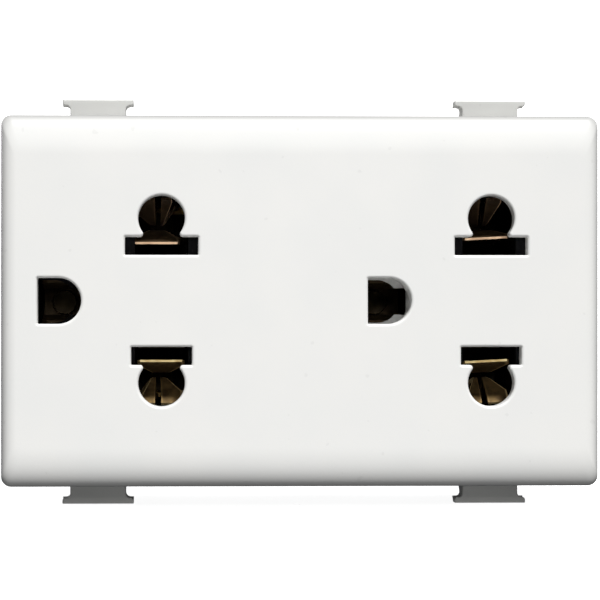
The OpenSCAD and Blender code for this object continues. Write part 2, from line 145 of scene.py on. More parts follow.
# Gathers grids and flat fills, and welds them into one mesh
class Skin:
    def __init__(self):
        self.points, self.faces, self.slots, self.worn, self.count = [], [], [], [], 0

    # the faces' numbers go on from the points that are already there
    def add(self, points, faces, slot, worn):
        self.points.append(points)
        self.faces.extend((faces + self.count).tolist())
        self.slots.extend([slot] * len(faces))
        self.worn.append(np.broadcast_to(np.asarray(worn, float), len(points)))
        self.count += len(points)

    # rows by columns of points; the mark of wear and painted shade is one value, one a row, or one a point
    def grid(self, points, closed=False, slot=0, worn=0):
        rows, cols = points.shape[:2]
        row, col = np.meshgrid(np.arange(rows - 1), np.arange(cols if closed else cols - 1), indexing="ij")
        after = (col + 1) % cols
        quads = np.stack([row * cols + col, row * cols + after,
                          (row + 1) * cols + after, (row + 1) * cols + col], -1).reshape(-1, 4)
        worn = np.asarray(worn, float)
        worn = np.broadcast_to(worn[:, None] if worn.ndim == 1 else worn, (rows, cols))
        self.add(points.reshape(-1, 3), quads, slot, worn.ravel())

    # flat region between closed outlines, at one depth, cut into triangles that keep every edge
    def fill(self, outlines, depth, slot=0, place=None, worn=0):
        flat = np.concatenate(outlines)
        starts = np.cumsum([0] + [len(o) for o in outlines[:-1]])
        edges = np.concatenate([start + np.stack([np.arange(len(o)), (np.arange(len(o)) + 1) % len(o)], -1)
                                for start, o in zip(starts, outlines)])
        made = delaunay_2d_cdt([Vector(p) for p in flat.tolist()], edges.tolist(), [], 0, 1e-6)
        corners, triangles = np.array([tuple(p) for p in made[0]]), np.array(made[2])
        kept = triangles[inside(corners[triangles].mean(1), flat[edges])]
        points = np.stack([corners[:, 0], np.full(len(corners), float(depth)), corners[:, 1]], -1)
        self.add(points if place is None else place(points), kept, slot, worn)

    # joins points that lie together, turns the faces outwards and marks the sharp edges
    def finish(self, name, materials, slot, body="outlet", crease=32):
        mesh = bpy.data.meshes.new(name)
        mesh.from_pydata(np.concatenate(self.points) * mm, [], self.faces)
        mesh.polygons.foreach_set("material_index", self.slots)
        mesh.attributes.new("worn", "FLOAT", "POINT").data.foreach_set("value", np.concatenate(self.worn))
        shell = bmesh.new()
        shell.from_mesh(mesh)
        bmesh.ops.remove_doubles(shell, verts=shell.verts, dist=weldGap * mm)
        bmesh.ops.dissolve_degenerate(shell, edges=shell.edges, dist=weldGap * mm / 4)
        bmesh.ops.recalc_face_normals(shell, faces=shell.faces)
        openEdges = sum(edge.is_boundary for edge in shell.edges)
        shell.to_mesh(mesh)
        shell.free()
        mesh.shade_smooth()
        mesh.set_sharp_from_angle(angle=math.radians(crease))
        for material in materials:
            mesh.materials.append(material)
        piece = bpy.data.objects.new(name, mesh)
        bpy.context.collection.objects.link(piece)
        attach(piece, body)
        print(name, len(mesh.polygons), "faces,", openEdges, "open edges")
        return piece


# A socket that sums can be written with: each operator adds a Math node
class Wire:
    def __init__(self, look, socket):
        self.look, self.socket = look, socket

    def calc(self, operation, *values):
        return self.look.node("ShaderNodeMath", {"operation": operation}, dict(enumerate(values)))

    def __add__(self, other):
        return self.calc("ADD", self, other)

    def __sub__(self, other):
        return self.calc("SUBTRACT", self, other)

    def __rsub__(self, other):
        return self.calc("SUBTRACT", other, self)

    def __mul__(self, other):
        return self.calc("MULTIPLY", self, other)

    __radd__, __rmul__ = __add__, __mul__


# A material with one Principled shader; fixed values stand on the shader's own sockets
class Look:
    def __init__(self, name, **fixed):
        self.material = bpy.data.materials.new(name)
        self.material.use_nodes = True
        self.tree = self.material.node_tree
        self.shader = self.tree.nodes["Principled BSDF"]
        for socket, value in fixed.items():
            self.set(socket.replace("_", " "), value)
        self.place = self.node("ShaderNodeTexCoord", out="Object")

    # a link for a Wire, the socket's own value for anything else
    def feed(self, socket, value):
        if isinstance(value, Wire):
            self.tree.links.new(value.socket, socket)
        elif isinstance(value, tuple) and socket.type == "RGBA":
            socket.default_value = (*value, 1)
        else:
            socket.default_value = value

    def set(self, socket, value):
        self.feed(self.shader.inputs[socket], value)

    def node(self, kind, settings={}, values={}, out=0):
        made = self.tree.nodes.new(kind)
        for name, value in settings.items():
            setattr(made, name, value)
        for socket, value in values.items():
            self.feed(made.inputs[socket], value)
        return Wire(self, made.outputs[out])

    # soft cloudy pattern with a feature size in millimetres, stretched by a scale for each axis
    def cloud(self, size, detail=2, stretch=(1, 1, 1)):
        place = self.node("ShaderNodeMapping", {}, {"Vector": self.place, "Scale": stretch})
        values = {"Vector": place, "Scale": 1 / (size * mm), "Detail": detail}
        return self.node("ShaderNodeTexNoise", {}, values)

    # 0 below low and 1 above high
    def between(self, value, low, high):
        return self.node("ShaderNodeMapRange", {}, {"Value": value, "From Min": low, "From Max": high})

    # the first colour at factor 0, the second at 1
    def blend(self, factor, first, second):
        return self.node("ShaderNodeMix", {"data_type": "RGBA"}, {0: factor, 6: first, 7: second}, 2)

    def attribute(self, name):
        return self.node("ShaderNodeAttribute", {"attribute_name": name}, {}, "Fac")

    # a height pattern that is a given number of millimetres deep
    def bump(self, height, depth):
        values = {"Strength": 1, "Distance": depth * mm, "Height": height}
        self.set("Normal", self.node("ShaderNodeBump", {}, values))


plasticLooks = {
    "cover": {"color": (0.865, 0.86, 0.835), "tint": (0.845, 0.845, 0.825),
              "gloss": 0.4, "shine": 0.5, "texture": 0.004},
    "latch": {"color": (0.61, 0.61, 0.585), "tint": (0.57, 0.57, 0.55),
              "gloss": 0.42, "shine": 0.5, "texture": 0.008},
    "body": {"color": (0.6, 0.6, 0.585), "tint": (0.55, 0.55, 0.54),
             "gloss": 0.5, "shine": 0.4, "texture": 0.03},
    "carrier": {"color": (0.003, 0.003, 0.0035), "tint": (0.006, 0.006, 0.007),
                "gloss": 0.6, "shine": 0.06, "texture": 0.02},
}
plasticDetail = {
    # sizes of the patterns in millimetres
    "broadSize": 9,
    "fineSize": 0.5,
    "speckSize": 0.9,
    "mouldSize": 0.12,
    "mouldShare": 0.5,
    "tintRange": (0.35, 0.65),
    "speckRange": (0.81, 0.84),
    # how strongly specks and the painted shade show, and how dark they are
    "speckShare": 0.14,
    "speckShade": 0.6,
    "paintedShadeShare": 0.5,
    "paintedShadeTone": 0.1,
    # changes of the roughness
    "broadRough": 0.12,
    "fineRough": 0.06,
    "wornRough": 0.08,
}


# Moulded plastic: clouds in its colour and gloss, a fine moulded texture, faint specks, rounded
# edges that handling has polished (marks above 0) and painted shade at the cover's outline and deep in its
# earth holes (marks below 0)
def plastic(name):
    parts, detail = plasticLooks[name], plasticDetail
    look = Look(name + "Plastic", IOR=1.5, Specular_IOR_Level=parts["shine"])
    broad, fine = look.cloud(detail["broadSize"]), look.cloud(detail["fineSize"], 3)
    speck = look.between(look.cloud(detail["speckSize"], 0), *detail["speckRange"])
    base = look.blend(look.between(broad, *detail["tintRange"]), parts["color"], parts["tint"])
    speckColor = tuple(c * detail["speckShade"] for c in parts["color"])
    paintedShadeColor = tuple(c * detail["paintedShadeTone"] for c in parts["color"])
    spotted = look.blend(speck * detail["speckShare"], base, speckColor)
    mark = look.attribute("worn")
    # marks below 0 paint shade: a darker colour at the cover's outline and deep in its earth holes
    worn, paintedShade = look.between(mark, 0, 1), look.between(mark, 0, -1)
    look.set("Base Color", look.blend(paintedShade * detail["paintedShadeShare"], spotted, paintedShadeColor))
    clouded = parts["gloss"] + (broad - 0.5) * detail["broadRough"] + (fine - 0.5) * detail["fineRough"]
    look.set("Roughness", clouded - worn * detail["wornRough"])
    look.bump(fine + look.cloud(detail["mouldSize"], 1) * detail["mouldShare"], parts["texture"])
    return look.material


metalLooks = {
    "lineSheet": {"color": (0.42, 0.28, 0.115), "stain": (0.1, 0.06, 0.025), "bare": (0.9, 0.7, 0.36),
                  "metallic": 0.5, "rough": 0.4, "grain": (1, 1, 12)},
    # painted shade: the neutral sheet is the line sheet's brass made darker, for the upper receptacles'
    # insides that lie in shade
    "neutralSheet": {"color": (0.14, 0.09, 0.045), "stain": (0.05, 0.03, 0.016), "bare": (0.8, 0.56, 0.34),
                     "metallic": 0.5, "rough": 0.4, "grain": (1, 1, 12)},
    "earthSheet": {"color": (0.1, 0.065, 0.03), "stain": (0.03, 0.019, 0.01), "bare": (0.5, 0.36, 0.17),
                   "metallic": 0.6, "rough": 0.45, "grain": (1, 1, 12)},
    # painted shade: the contacts' base is near black because it lies deep in shade
    "contactBase": {"color": (0.03, 0.021, 0.012), "stain": (0.012, 0.009, 0.006), "bare": (0.1, 0.07, 0.03),
                    "metallic": 0.5, "rough": 0.6, "grain": (1, 1, 1)},
    "lineEdge": {"color": (1, 0.82, 0.42), "stain": (0.78, 0.56, 0.24), "bare": (1, 0.9, 0.55),
                 "metallic": 0.8, "rough": 0.36, "grain": (9, 1, 1)},
    "neutralEdge": {"color": (0.72, 0.5, 0.32), "stain": (0.34, 0.19, 0.11), "bare": (0.8, 0.62, 0.42),
                    "metallic": 0.8, "rough": 0.36, "grain": (9, 1, 1)},
    "busBar": {"color": (0.72, 0.5, 0.2), "stain": (0.42, 0.25, 0.09), "bare": (0.9, 0.68, 0.32),
               "metallic": 1, "rough": 0.36, "grain": (1, 1, 9)},
    "clampPlate": {"color": (0.76, 0.62, 0.36), "stain": (0.5, 0.38, 0.2), "bare": (0.92, 0.78, 0.5),
                   "metallic": 1, "rough": 0.33, "grain": (1, 1, 6)},
    "rivet": {"color": (0.05, 0.038, 0.022), "stain": (0.02, 0.015, 0.009), "bare": (0.16, 0.12, 0.07),
              "metallic": 1, "rough": 0.36, "grain": (1, 1, 1)},
    "nut": {"color": (0.6, 0.6, 0.57), "stain": (0.34, 0.33, 0.3), "bare": (0.8, 0.8, 0.77),
            "metallic": 1, "rough": 0.38, "grain": (1, 1, 4)},
    "screw": {"color": (0.68, 0.67, 0.63), "stain": (0.4, 0.38, 0.34), "bare": (0.86, 0.85, 0.82),
              "metallic": 1, "rough": 0.28, "grain": (1, 1, 1)},
}
metalDetail = {
    # sizes of the patterns and depth of the scratches, in millimetres
    "stainSize": 2.2,
    "scratchSize": 0.35,
    "scratchDepth": 0.006,
    "stainRange": (0.42, 0.7),
    # how strongly stains, painted shade and bare edges show
    "stainShare": 0.75,
    "darkShadeShare": 0.85,
    "bareShare": 0.9,
    # changes of the roughness
    "stainRough": 0.2,
    "scratchRough": 0.25,
    "wornRough": 0.1,
}


# Rolled or turned metal: stains in clouds, fine scratches along the grain, bare edges (marks above 0)
# and painted shade on the contacts' leaves (marks below 0). Edges that a modifier rounds get the same metal
# with bareness 1.
def metal(name, bareness=0):
    parts, detail = metalLooks[name], metalDetail
    look = Look(name + ("Worn" if bareness else "Metal"))
    stain = look.between(look.cloud(detail["stainSize"], 4), *detail["stainRange"])
    scratch = look.cloud(detail["scratchSize"], 3, parts["grain"])
    mark = look.attribute("worn") + bareness
    worn, darkShade = look.between(mark, 0, 1), look.between(mark, 0, -1)
    # stains and painted shade both darken the colour towards the stain colour
    darkened = stain * detail["stainShare"] + darkShade * detail["darkShadeShare"]
    stainedAndShaded = look.blend(darkened, parts["color"], parts["stain"])
    look.set("Base Color", look.blend(worn * detail["bareShare"], stainedAndShaded, parts["bare"]))
    look.set("Metallic", parts["metallic"] * (1 - worn * (1 - parts["metallic"])))
    uneven = parts["rough"] + stain * detail["stainRough"] + (scratch - 0.5) * detail["scratchRough"]
    look.set("Roughness", uneven - worn * detail["wornRough"])
    look.bump(scratch, detail["scratchDepth"])
    return look.material


plastics = {name: plastic(name) for name in plasticLooks}
metals = {name: metal(name) for name in metalLooks}
wornMetals = {name: metal(name, 1) for name in ("busBar", "clampPlate", "rivet", "nut", "screw")}
print("materials made")


coverShape = {
    "crownRun": (1.75, 4.4),  # how far the rounded edges reach in from the sides, and from top and bottom
    "crownDrop": 1.5,  # how far they fall back
    "crownRows": 17,
    "crownShade": 3.8,  # how late along them their painted shade begins
    "cornerRadius": 1.2,
    "innerCorner": 0.7,  # corner of the flat face
    "faceWall": 2.1,
    "skirtWall": 1.6,
    "faceBand": 0.12,  # flat band inside the face's outline, which keeps the face's shading flat
    "rearEdge": 0.22,  # radius of the rear rim's strip
    "hollowCorner": 0.5,
    "holeRim": 0.32,  # rounded edge of the holes
    "rimBand": 0.02,
    "bossRadius": 1.9,
    "boreRadius": 1.15,
    "boreEnd": 1.1,  # its end, behind the face
    "bossInset": (4.4, 4.4),  # bosses' distance from the cover's sides
    "bossEnd": -3,
}
receptacle = {
    "pinZ": 9.5,
    "pinRadius": 2.68,
    "slotFrom": 2.1,  # nearer edge of the blade slot, from the round hole's centre
    "slotTo": 4.2,
    "halfSlot": {"line": 3.5, "neutral": 4.225},
    "cusp": 0.35,  # rounding between the round hole and the slot
    "slotCorner": 0.12,
    "earthOffset": 11.9,
    "earthRadius": 2.65,
    "earthFlat": 2.38,
    "earthCorner": 0.12,
    "steps": (0.1, 0.2),  # widening of the earth hole at its two steps
    "collarBack": -1.4,
    "collarFloor": 0.8,
    "collarWall": 0.65,
    "floorRadius": 2.52,  # way through the collar's floor
    "floorShift": 0.75,
    "floorSlot": 1.55,
    "floorCorner": 0.1,
    "floorGap": 0.02,  # between the floor's opening and the wall at the left
    # painted shade on the earth hole's deepest step and its ledge
    "lastStepShade": -0.3,
    "ledgeShade": -0.6,
    "ledge": {"left": 1, "right": 0},  # material of the ledge: the left one is black carrier plastic, painted shade for the dark inside of that hole
}


# Round pin hole joined to a blade slot: the circle, two rounded cusps and the slot's four corners
def pinAndBlade(pole):
    radius, low, high = receptacle["pinRadius"], receptacle["slotFrom"], receptacle["slotTo"]
    cusp, corner, half = receptacle["cusp"], receptacle["slotCorner"], receptacle["halfSlot"][pole]
    z = low - cusp
    x = math.sqrt((radius + cusp) ** 2 - z ** 2)
    meet = math.degrees(math.atan2(z, x))
    return arcs((0, 0, radius, 180 - meet, 360 + meet),
                (x, z, cusp, 180 + meet, 90),
                (half - corner, low + corner, corner, -90, 0),
                (half - corner, high - corner, corner, 0, 90),
                (corner - half, high - corner, corner, 90, 180),
                (corner - half, low + corner, corner, 180, 270),
                (-x, z, cusp, 90, -meet))


# Half-round on the right, two small corners on the left
def earthHole(grow=0):
    radius, flat = receptacle["earthRadius"] + grow, receptacle["earthFlat"] + grow
    corner = receptacle["earthCorner"]
    return arcs((0, 0, radius, -90, 90), (corner - flat, radius - corner, corner, 90, 180),
                (corner - flat, corner - radius, corner, 180, 270))


# The same kind of hole moved left, with a slot on its right. Known fault: the slot's right corners
# pass the collar's wall by about 0.2 mm, so the floor's edges stay open there.
def earthFloor():
    radius, shift, slot = (receptacle[key] for key in ("floorRadius", "floorShift", "floorSlot"))
    meet, corner = math.degrees(math.asin(slot / radius)), receptacle["floorCorner"]
    end = receptacle["earthRadius"] - corner
    flat = receptacle["earthFlat"] + receptacle["steps"][1] - receptacle["floorGap"]
    return arcs((end, corner - slot, corner, -90, 0), (end, slot - corner, corner, 0, 90),
                (-shift, 0, radius, meet, 90), (corner - flat, radius - corner, corner, 90, 180),
                (corner - flat, corner - radius, corner, 180, 270), (-shift, 0, radius, -90, -meet))


# The outline at a pin-and-blade opening, turned half round for the neutral pole
def atPole(outline, side, pole):
    return moved(outline, bladeX[side], poles[pole] * receptacle["pinZ"], pole == "neutral")


# The outline at an earth hole, beside the blade line
def atEarth(outline, side):
    return moved(outline, bladeX[side] - receptacle["earthOffset"], 0)


# The rounded edges are a quarter ellipse: the outline goes from the flat face's to the cover's by
# sin(a), while its depth goes by 1 - cos(a)
def makeCover():
    shape, skin = coverShape, Skin()
    halfW, halfH = coverHigh[0], coverHigh[2]
    back, band = faceY + shape["faceWall"], shape["faceBand"]
    outer = roundedRect(halfW, halfH, shape["cornerRadius"])
    flat = roundedRect(halfW - shape["crownRun"][0], halfH - shape["crownRun"][1], shape["innerCorner"])
    turn = np.linspace(0, math.pi / 2, shape["crownRows"])[:, None, None]
    plan = flat[0] + (outer[0] - flat[0]) * np.sin(turn)
    depth = np.broadcast_to(faceY + shape["crownDrop"] * (1 - np.cos(turn)), plan[..., :1].shape)
    crown = np.concatenate([plan[..., :1], depth, plan[..., 1:]], -1)
    # painted shade: the colour darkens towards the rounded edges' outer end
    skin.grid(crown, True, worn=-np.sin(turn).ravel() ** shape["crownShade"])
    skin.grid(carried(flat, [(-band, faceY), (0, faceY)]), True)
    faceLoops, backLoops = [grown(flat, -band)], []
    # Sides, rear rim and the hollow behind the face. Known fault: the rim's strip curves the wrong
    # way and meets neither the wall nor the rear face. (-d, -y) would start and end at them.
    edge = shape["rearEdge"]
    wall = carried(outer, [(0, faceY + shape["crownDrop"]), (0, -2 * edge), (0, -edge)])
    # painted shade along the front of the side walls, where the rounded edges end
    skin.grid(wall, True, worn=(-1, 0, 0))
    skin.grid(carried(outer, [(d - edge, -y) for d, y in rim(edge, 0)[::-1]]), True, worn=1)
    hollow = roundedRect(halfW - shape["skirtWall"], halfH - shape["skirtWall"], shape["hollowCorner"])
    skin.fill([grown(outer, -edge), hollow[0]], 0)
    skin.grid(carried(hollow, [(0, 0), (0, back)]), True)
    backLoops.append(hollow[0])
    holeRim = np.concatenate([[(shape["holeRim"] + shape["rimBand"], faceY)],
                              rim(shape["holeRim"], faceY, 8)])
    rimWorn = [0, 0, *[1] * (len(holeRim) - 3), 0]
    for side in sides:
        for pole in poles:
            hole = atPole(pinAndBlade(pole), side, pole)
            skin.grid(carried(hole, holeRim), True, worn=rimWorn)
            skin.grid(carried(hole, [(0, faceY + shape["holeRim"]), (0, back)]), True)
            faceLoops.append(grown(hole, holeRim[0][0]))
            backLoops.append(hole[0])
        addCollar(skin, side, back, holeRim, rimWorn, faceLoops, backLoops)
    skin.fill(faceLoops, faceY)
    for x in (-1, 1):
        for z in (-1, 1):
            spot = x * (halfW - shape["bossInset"][0]), z * (halfH - shape["bossInset"][1])
            boss, bore = moved(circle(shape["bossRadius"]), *spot), moved(circle(shape["boreRadius"]), *spot)
            skin.grid(carried(boss, [(0, back), (0, shape["bossEnd"])]), True)
            skin.fill([boss[0], bore[0]], shape["bossEnd"])
            skin.grid(carried(bore, [(0, shape["bossEnd"]), (0, faceY + shape["boreEnd"])]), True)
            skin.fill([bore[0]], faceY + shape["boreEnd"])
            backLoops.append(boss[0])
    skin.fill(backLoops, back)
    # the black carrier plastic is the second material, painted shade on the left earth hole's ledge
    piece = skin.finish("coverMoulding", [plastics["cover"], plastics["carrier"]], "cover_plastic")
    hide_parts("front_cover")


# Earth hole: rounded rim, a wall that widens at two steps, a ledge round the way through the floor,
# and the collar's end and outside
def addCollar(skin, side, back, holeRim, rimWorn, faceLoops, backLoops):
    first, second = receptacle["steps"]
    end = receptacle["collarBack"]
    floor = end - receptacle["collarFloor"]
    hole, way = atEarth(earthHole(), side), atEarth(earthFloor(), side)
    outside = atEarth(earthHole(second + receptacle["collarWall"]), side)
    skin.grid(carried(hole, holeRim), True, worn=rimWorn)
    middle = (back + floor) / 2
    skin.grid(carried(hole, [(0, faceY + coverShape["holeRim"]), (0, back), (first, back), (first, middle),
                             (second, middle), (second, floor)]),
              True, worn=(0, 0, 0, 0, 0, receptacle["lastStepShade"]))
    # painted shade deep in the earth hole: a darker ledge, and on the left black carrier plastic
    ledge, worn = receptacle["ledge"][side], receptacle["ledgeShade"]
    skin.fill([grown(hole, second), way[0]], floor, ledge, worn=worn)
    skin.grid(carried(way, [(0, floor), (0, end)]), True, ledge, worn=worn)
    skin.fill([outside[0], way[0]], end)
    skin.grid(carried(outside, [(0, end), (0, back)]), True)
    faceLoops.append(grown(hole, holeRim[0][0]))
    backLoops.append(outside[0])


makeCover()


contactShape = {
    "sheet": 0.5,
    "edge": 0.26,  # thickness of the coined front edge
    "front": 3.2,  # depth of the front edge behind the face
    "grip": 8.5,
    "foot": 2.1,
    "gap": 0.76,
    "turn": 3,  # degrees that the right contacts stand turned on their rivets
    "chamber": 3.08,  # how far the leaves may reach to each side in the carrier's chambers
    "back": 12.85,
    # where each middle leaf's front edge stands from the round hole's centre: to the right, and
    # towards the receptacle's middle
    "stand": {("line", "left"): (-0.07, 2.55), ("line", "right"): (-0.1, 2.5),
              ("neutral", "left"): (-0.6, 2.75), ("neutral", "right"): (-0.34, 2.15)},
    "darkShade": {"line": 1, "neutral": 0.15},  # painted shade on the middle leaf's faces
    # painted shade on the petals
    "petalShade": {"line": 0.6, "neutral": 0.8},
    "broadBare": {"line": 1, "neutral": 0},  # wear of the broad petal's outer edge
    "slimShare": {"left": 0.75, "right": 1},  # width of the neutral contacts' slim petals
    "petalLean": -0.4,
    "petalDepth": 0.5,  # how far the petals' front edges stand behind the middle leaf's
    "bend": 1.1,  # how far a bend reaches along its two legs
    "step": 0.35,  # between rows on the middle leaf and the petals
    "farStep": 0.5,
    "leafHalf": 2.75,  # half width of the leaves behind the grip, and of the far leaf
    "carrierGap": 0.05,  # the chamber's limit ends this far in front of the carrier's back
    # the base that the leaves stand on
    "baseHalf": 3.4,
    "baseCorner": 0.3,
    "baseDepth": (12.6, 13.1),
    "baseBore": 1.05,
    "baseShift": 2.25,
}


# A bent path: straight lines whose corners are replaced by quadratic curves, as many points in all
def bentPath(corners, reach=0.8, steps=6):
    corners = np.asarray(corners, float)
    t = np.linspace(0, 1, steps + 1)[:, None]
    parts = [corners[:1]]
    for before, here, after in zip(corners, corners[1:], corners[2:]):
        start = here + (before - here) * min(0.45, reach / np.linalg.norm(before - here))
        stop = here + (after - here) * min(0.45, reach / np.linalg.norm(after - here))
        parts.append((1 - t) ** 2 * start + 2 * t * (1 - t) * here + t ** 2 * stop)
    parts.append(corners[-1:])
    return np.concatenate(parts)


# More points on a path, evenly between its own, as close as the given step
def refined(path, step):
    lengths = np.linalg.norm(np.diff(path, axis=0), axis=1)
    along = np.concatenate([[0], np.cumsum(lengths)])
    counts = np.maximum(1, np.ceil(lengths / step)).astype(int)
    spots = np.concatenate([np.linspace(a, b, n, endpoint=False) for a, b, n in zip(along, along[1:], counts)]
                           + [along[-1:]])
    return np.stack([np.interp(spots, along, path[:, k]) for k in range(path.shape[1])], -1)


# Sheet leaf. Its middle line runs along path (depth, height); across it the width goes between two
# functions of depth. Both faces stand half the thickness off it. The slots are those of the two
# sides and of the front and back edges, bare says how far each side is worn, and the dark shade
# gives both faces painted shade.
def addLeaf(skin, path, left, right, thickness, place, slots=(0, 0, 1, 0), bare=(0, 0), darkShade=0, across=12):
    slope = np.gradient(path, axis=0)
    normal = np.stack([-slope[:, 1], slope[:, 0]], -1) / np.linalg.norm(slope, axis=1, keepdims=True)
    t = np.concatenate([[0, 0.05], np.linspace(0.11, 0.89, across - 3), [0.95, 1]])
    u = left(path[:, 0])[:, None] * (1 - t) + right(path[:, 0])[:, None] * t
    half = thickness(path[:, 0])[:, None] / 2
    worn = np.full(u.shape, -float(darkShade))
    worn[:, :2], worn[:, -2:] = bare
    faces = []
    for sign in (1, -1):
        yv = path[:, None, :] + (sign * half)[..., None] * normal[:, None, :]
        yv = np.broadcast_to(yv, (*u.shape, 2))
        faces.append(place(np.stack([u, yv[..., 0], yv[..., 1]], -1)))
    top, bottom = faces
    skin.grid(top, worn=worn)
    skin.grid(bottom, worn=worn)
    rims = ((top[:, 0], bottom[:, 0]), (top[:, -1], bottom[:, -1]),
            (top[0], bottom[0]), (top[-1], bottom[-1]))
    for (a, b), slot in zip(rims, slots):
        skin.grid(np.stack([a, b]), slot=slot)


def steps(*pairs):  # a function of depth through the given (depth, value) pairs
    depths, values = zip(*pairs)
    return lambda y: np.interp(y, depths, values)


# A middle leaf and two petals split by a gap, which close at the grip, and a far leaf beside them, all
# on a riveted base. Across the opening u runs sideways and v towards the receptacle's middle.
def makeBladeContact(side, pole):
    shape, skin = contactShape, Skin()
    front, grip = faceY + shape["front"], faceY + shape["grip"]
    foot, back = shape["foot"], shape["back"]
    angle, sign = math.radians(shape["turn"] if side == "right" else 0), -poles[pole]
    cos, sin = math.cos(angle), math.sin(angle)
    stand, height = shape["stand"][pole, side]
    carrierBack = span("contact_carrier")[1][1] - shape["carrierGap"]

    def placed(lean):  # the lean fades out behind the grip
        def place(p):
            u, y, v = p[..., 0], p[..., 1], p[..., 2]
            x = sign * (u * cos - v * sin) + lean * np.interp(y, [grip, back - 1], [1, 0])
            x = np.where(y < carrierBack, np.clip(x, -shape["chamber"], shape["chamber"]), x)
            z = poles[pole] * receptacle["pinZ"] + sign * (u * sin + v * cos)
            return np.stack([bladeX[side] + x, y, z], -1)
        return place

    bend, step, leafHalf = shape["bend"], shape["step"], shape["leafHalf"]
    coined = steps((front, shape["edge"]), (front + 0.8, shape["sheet"]))
    middle = bentPath([(front, height), (grip, 1.2), (grip + 3.5, foot), (back, foot)], bend)
    wide = steps((front, 2.46), (front + 0.1, 2.6), (front + 0.3, 2.72), (front + 0.6, 2.75),
                 (front + 1.1, 2.72), (grip, 0.8), (grip + 1.5, 1.6), (grip + 4, leafHalf))
    addLeaf(skin, refined(middle, step), lambda y: -wide(y), wide, coined, placed(stand),
            bare=(0.3, 0.3), darkShade=shape["darkShade"][pole])
    start = front + shape["petalDepth"]
    petal = refined(bentPath([(start, -2.45), (grip, 0.6), (grip + 4, -foot), (back, -foot)], bend), step)
    broad = steps((start, 2.5), (front + 0.8, 2.7), (front + 1.3, 2.8), (front + 2.4, 2.8),
                  (grip, 0.6), (grip + 1.5, 1.5), (grip + 4, leafHalf))
    slim = steps((start, 2.1), (front + 0.9, 2.2), (front + 2.1, 1.75),
                 (grip, 0.55), (grip + 1.5, 1.5), (grip + 4, leafHalf))
    split = shape["gap"] / 2
    inner = steps((front, split), (grip, split - 0.1), (back, split))
    coined = steps((start, shape["edge"]), (front + 1.3, shape["sheet"]))
    petals = placed(shape["petalLean"])
    # painted shade on the petals, darker on the neutral contacts
    darkShade = shape["petalShade"][pole]
    share = shape["slimShare"][side] if pole == "neutral" else 1
    addLeaf(skin, petal, inner, broad, coined, petals, bare=(0, shape["broadBare"][pole]), darkShade=darkShade)
    addLeaf(skin, petal, lambda y: -share * slim(y), lambda y: -inner(y), coined, petals,
            bare=(1, 0), darkShade=darkShade)
    far = refined(bentPath([(front, 4.75), (grip + 5, 4.1), (back, 4.5)], bend), shape["farStep"])
    even = steps((front, shape["sheet"]), (back, shape["sheet"]))
    # the far leaf's front edge takes the near-black base metal as painted shade
    addLeaf(skin, far, lambda y: 0 * y - leafHalf, lambda y: 0 * y + leafHalf, even, placed(0),
            slots=(0, 0, 2, 0))
    halfHeight = (foot + 4.5 + shape["sheet"]) / 2
    base = moved(roundedRect(shape["baseHalf"], halfHeight, shape["baseCorner"]), 0, shape["baseShift"])
    bore, place = circle(shape["baseBore"]), placed(0)
    baseFront, baseBack = shape["baseDepth"]
    # the base takes the near-black base metal as painted shade
    for outline in (base, bore):
        skin.grid(place(carried(outline, [(0, baseFront), (0, baseBack)])), True, slot=2)
    for depth in shape["baseDepth"]:
        skin.fill([base[0], bore[0]], depth, 2, place)
    name = f"{pole}_contact_{side}"
    # the third metal paints shade on the base and the far leaf's front edge
    looks = [metals[pole + "Sheet"], metals[pole + "Edge"], metals["contactBase"]]
    piece = skin.finish(name.replace("_", "") + "Sheet", looks, "contact_brass")
    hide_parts(name)


for side in sides:
    for pole in poles:
        makeBladeContact(side, pole)


latchShape = {
    "neck": 6.65,
    "bar": 8.5,
    "barHeight": 0.72,
    "blend": 0.5,  # hollow corner between neck and bar
    "footCorner": 0.14,
    "bluntCorner": 0.38,  # lower corners of the bar
    "tightCorner": 0.1,  # upper ones
    "sunk": 0.3,  # how deep the catch stands in the tongue
    "rampRows": 25,
    "grip": 2.2,  # depth of the catch's front
    "flat": 1.6,  # how far its top runs level
    "rampEnd": 10.2,
    "tongue": (18.3, 19.5),  # the tongue's inner and outer face, from the middle
    "tongueFront": 1.6,
    "tongueCorner": 0.3,
    "bead": (17.6, 18.4, 1.25),  # depth, height and radius of the bead at its root
    "edge": 0.16,  # known fault: more than the foot and tight corners, so the front's outline folds there
}


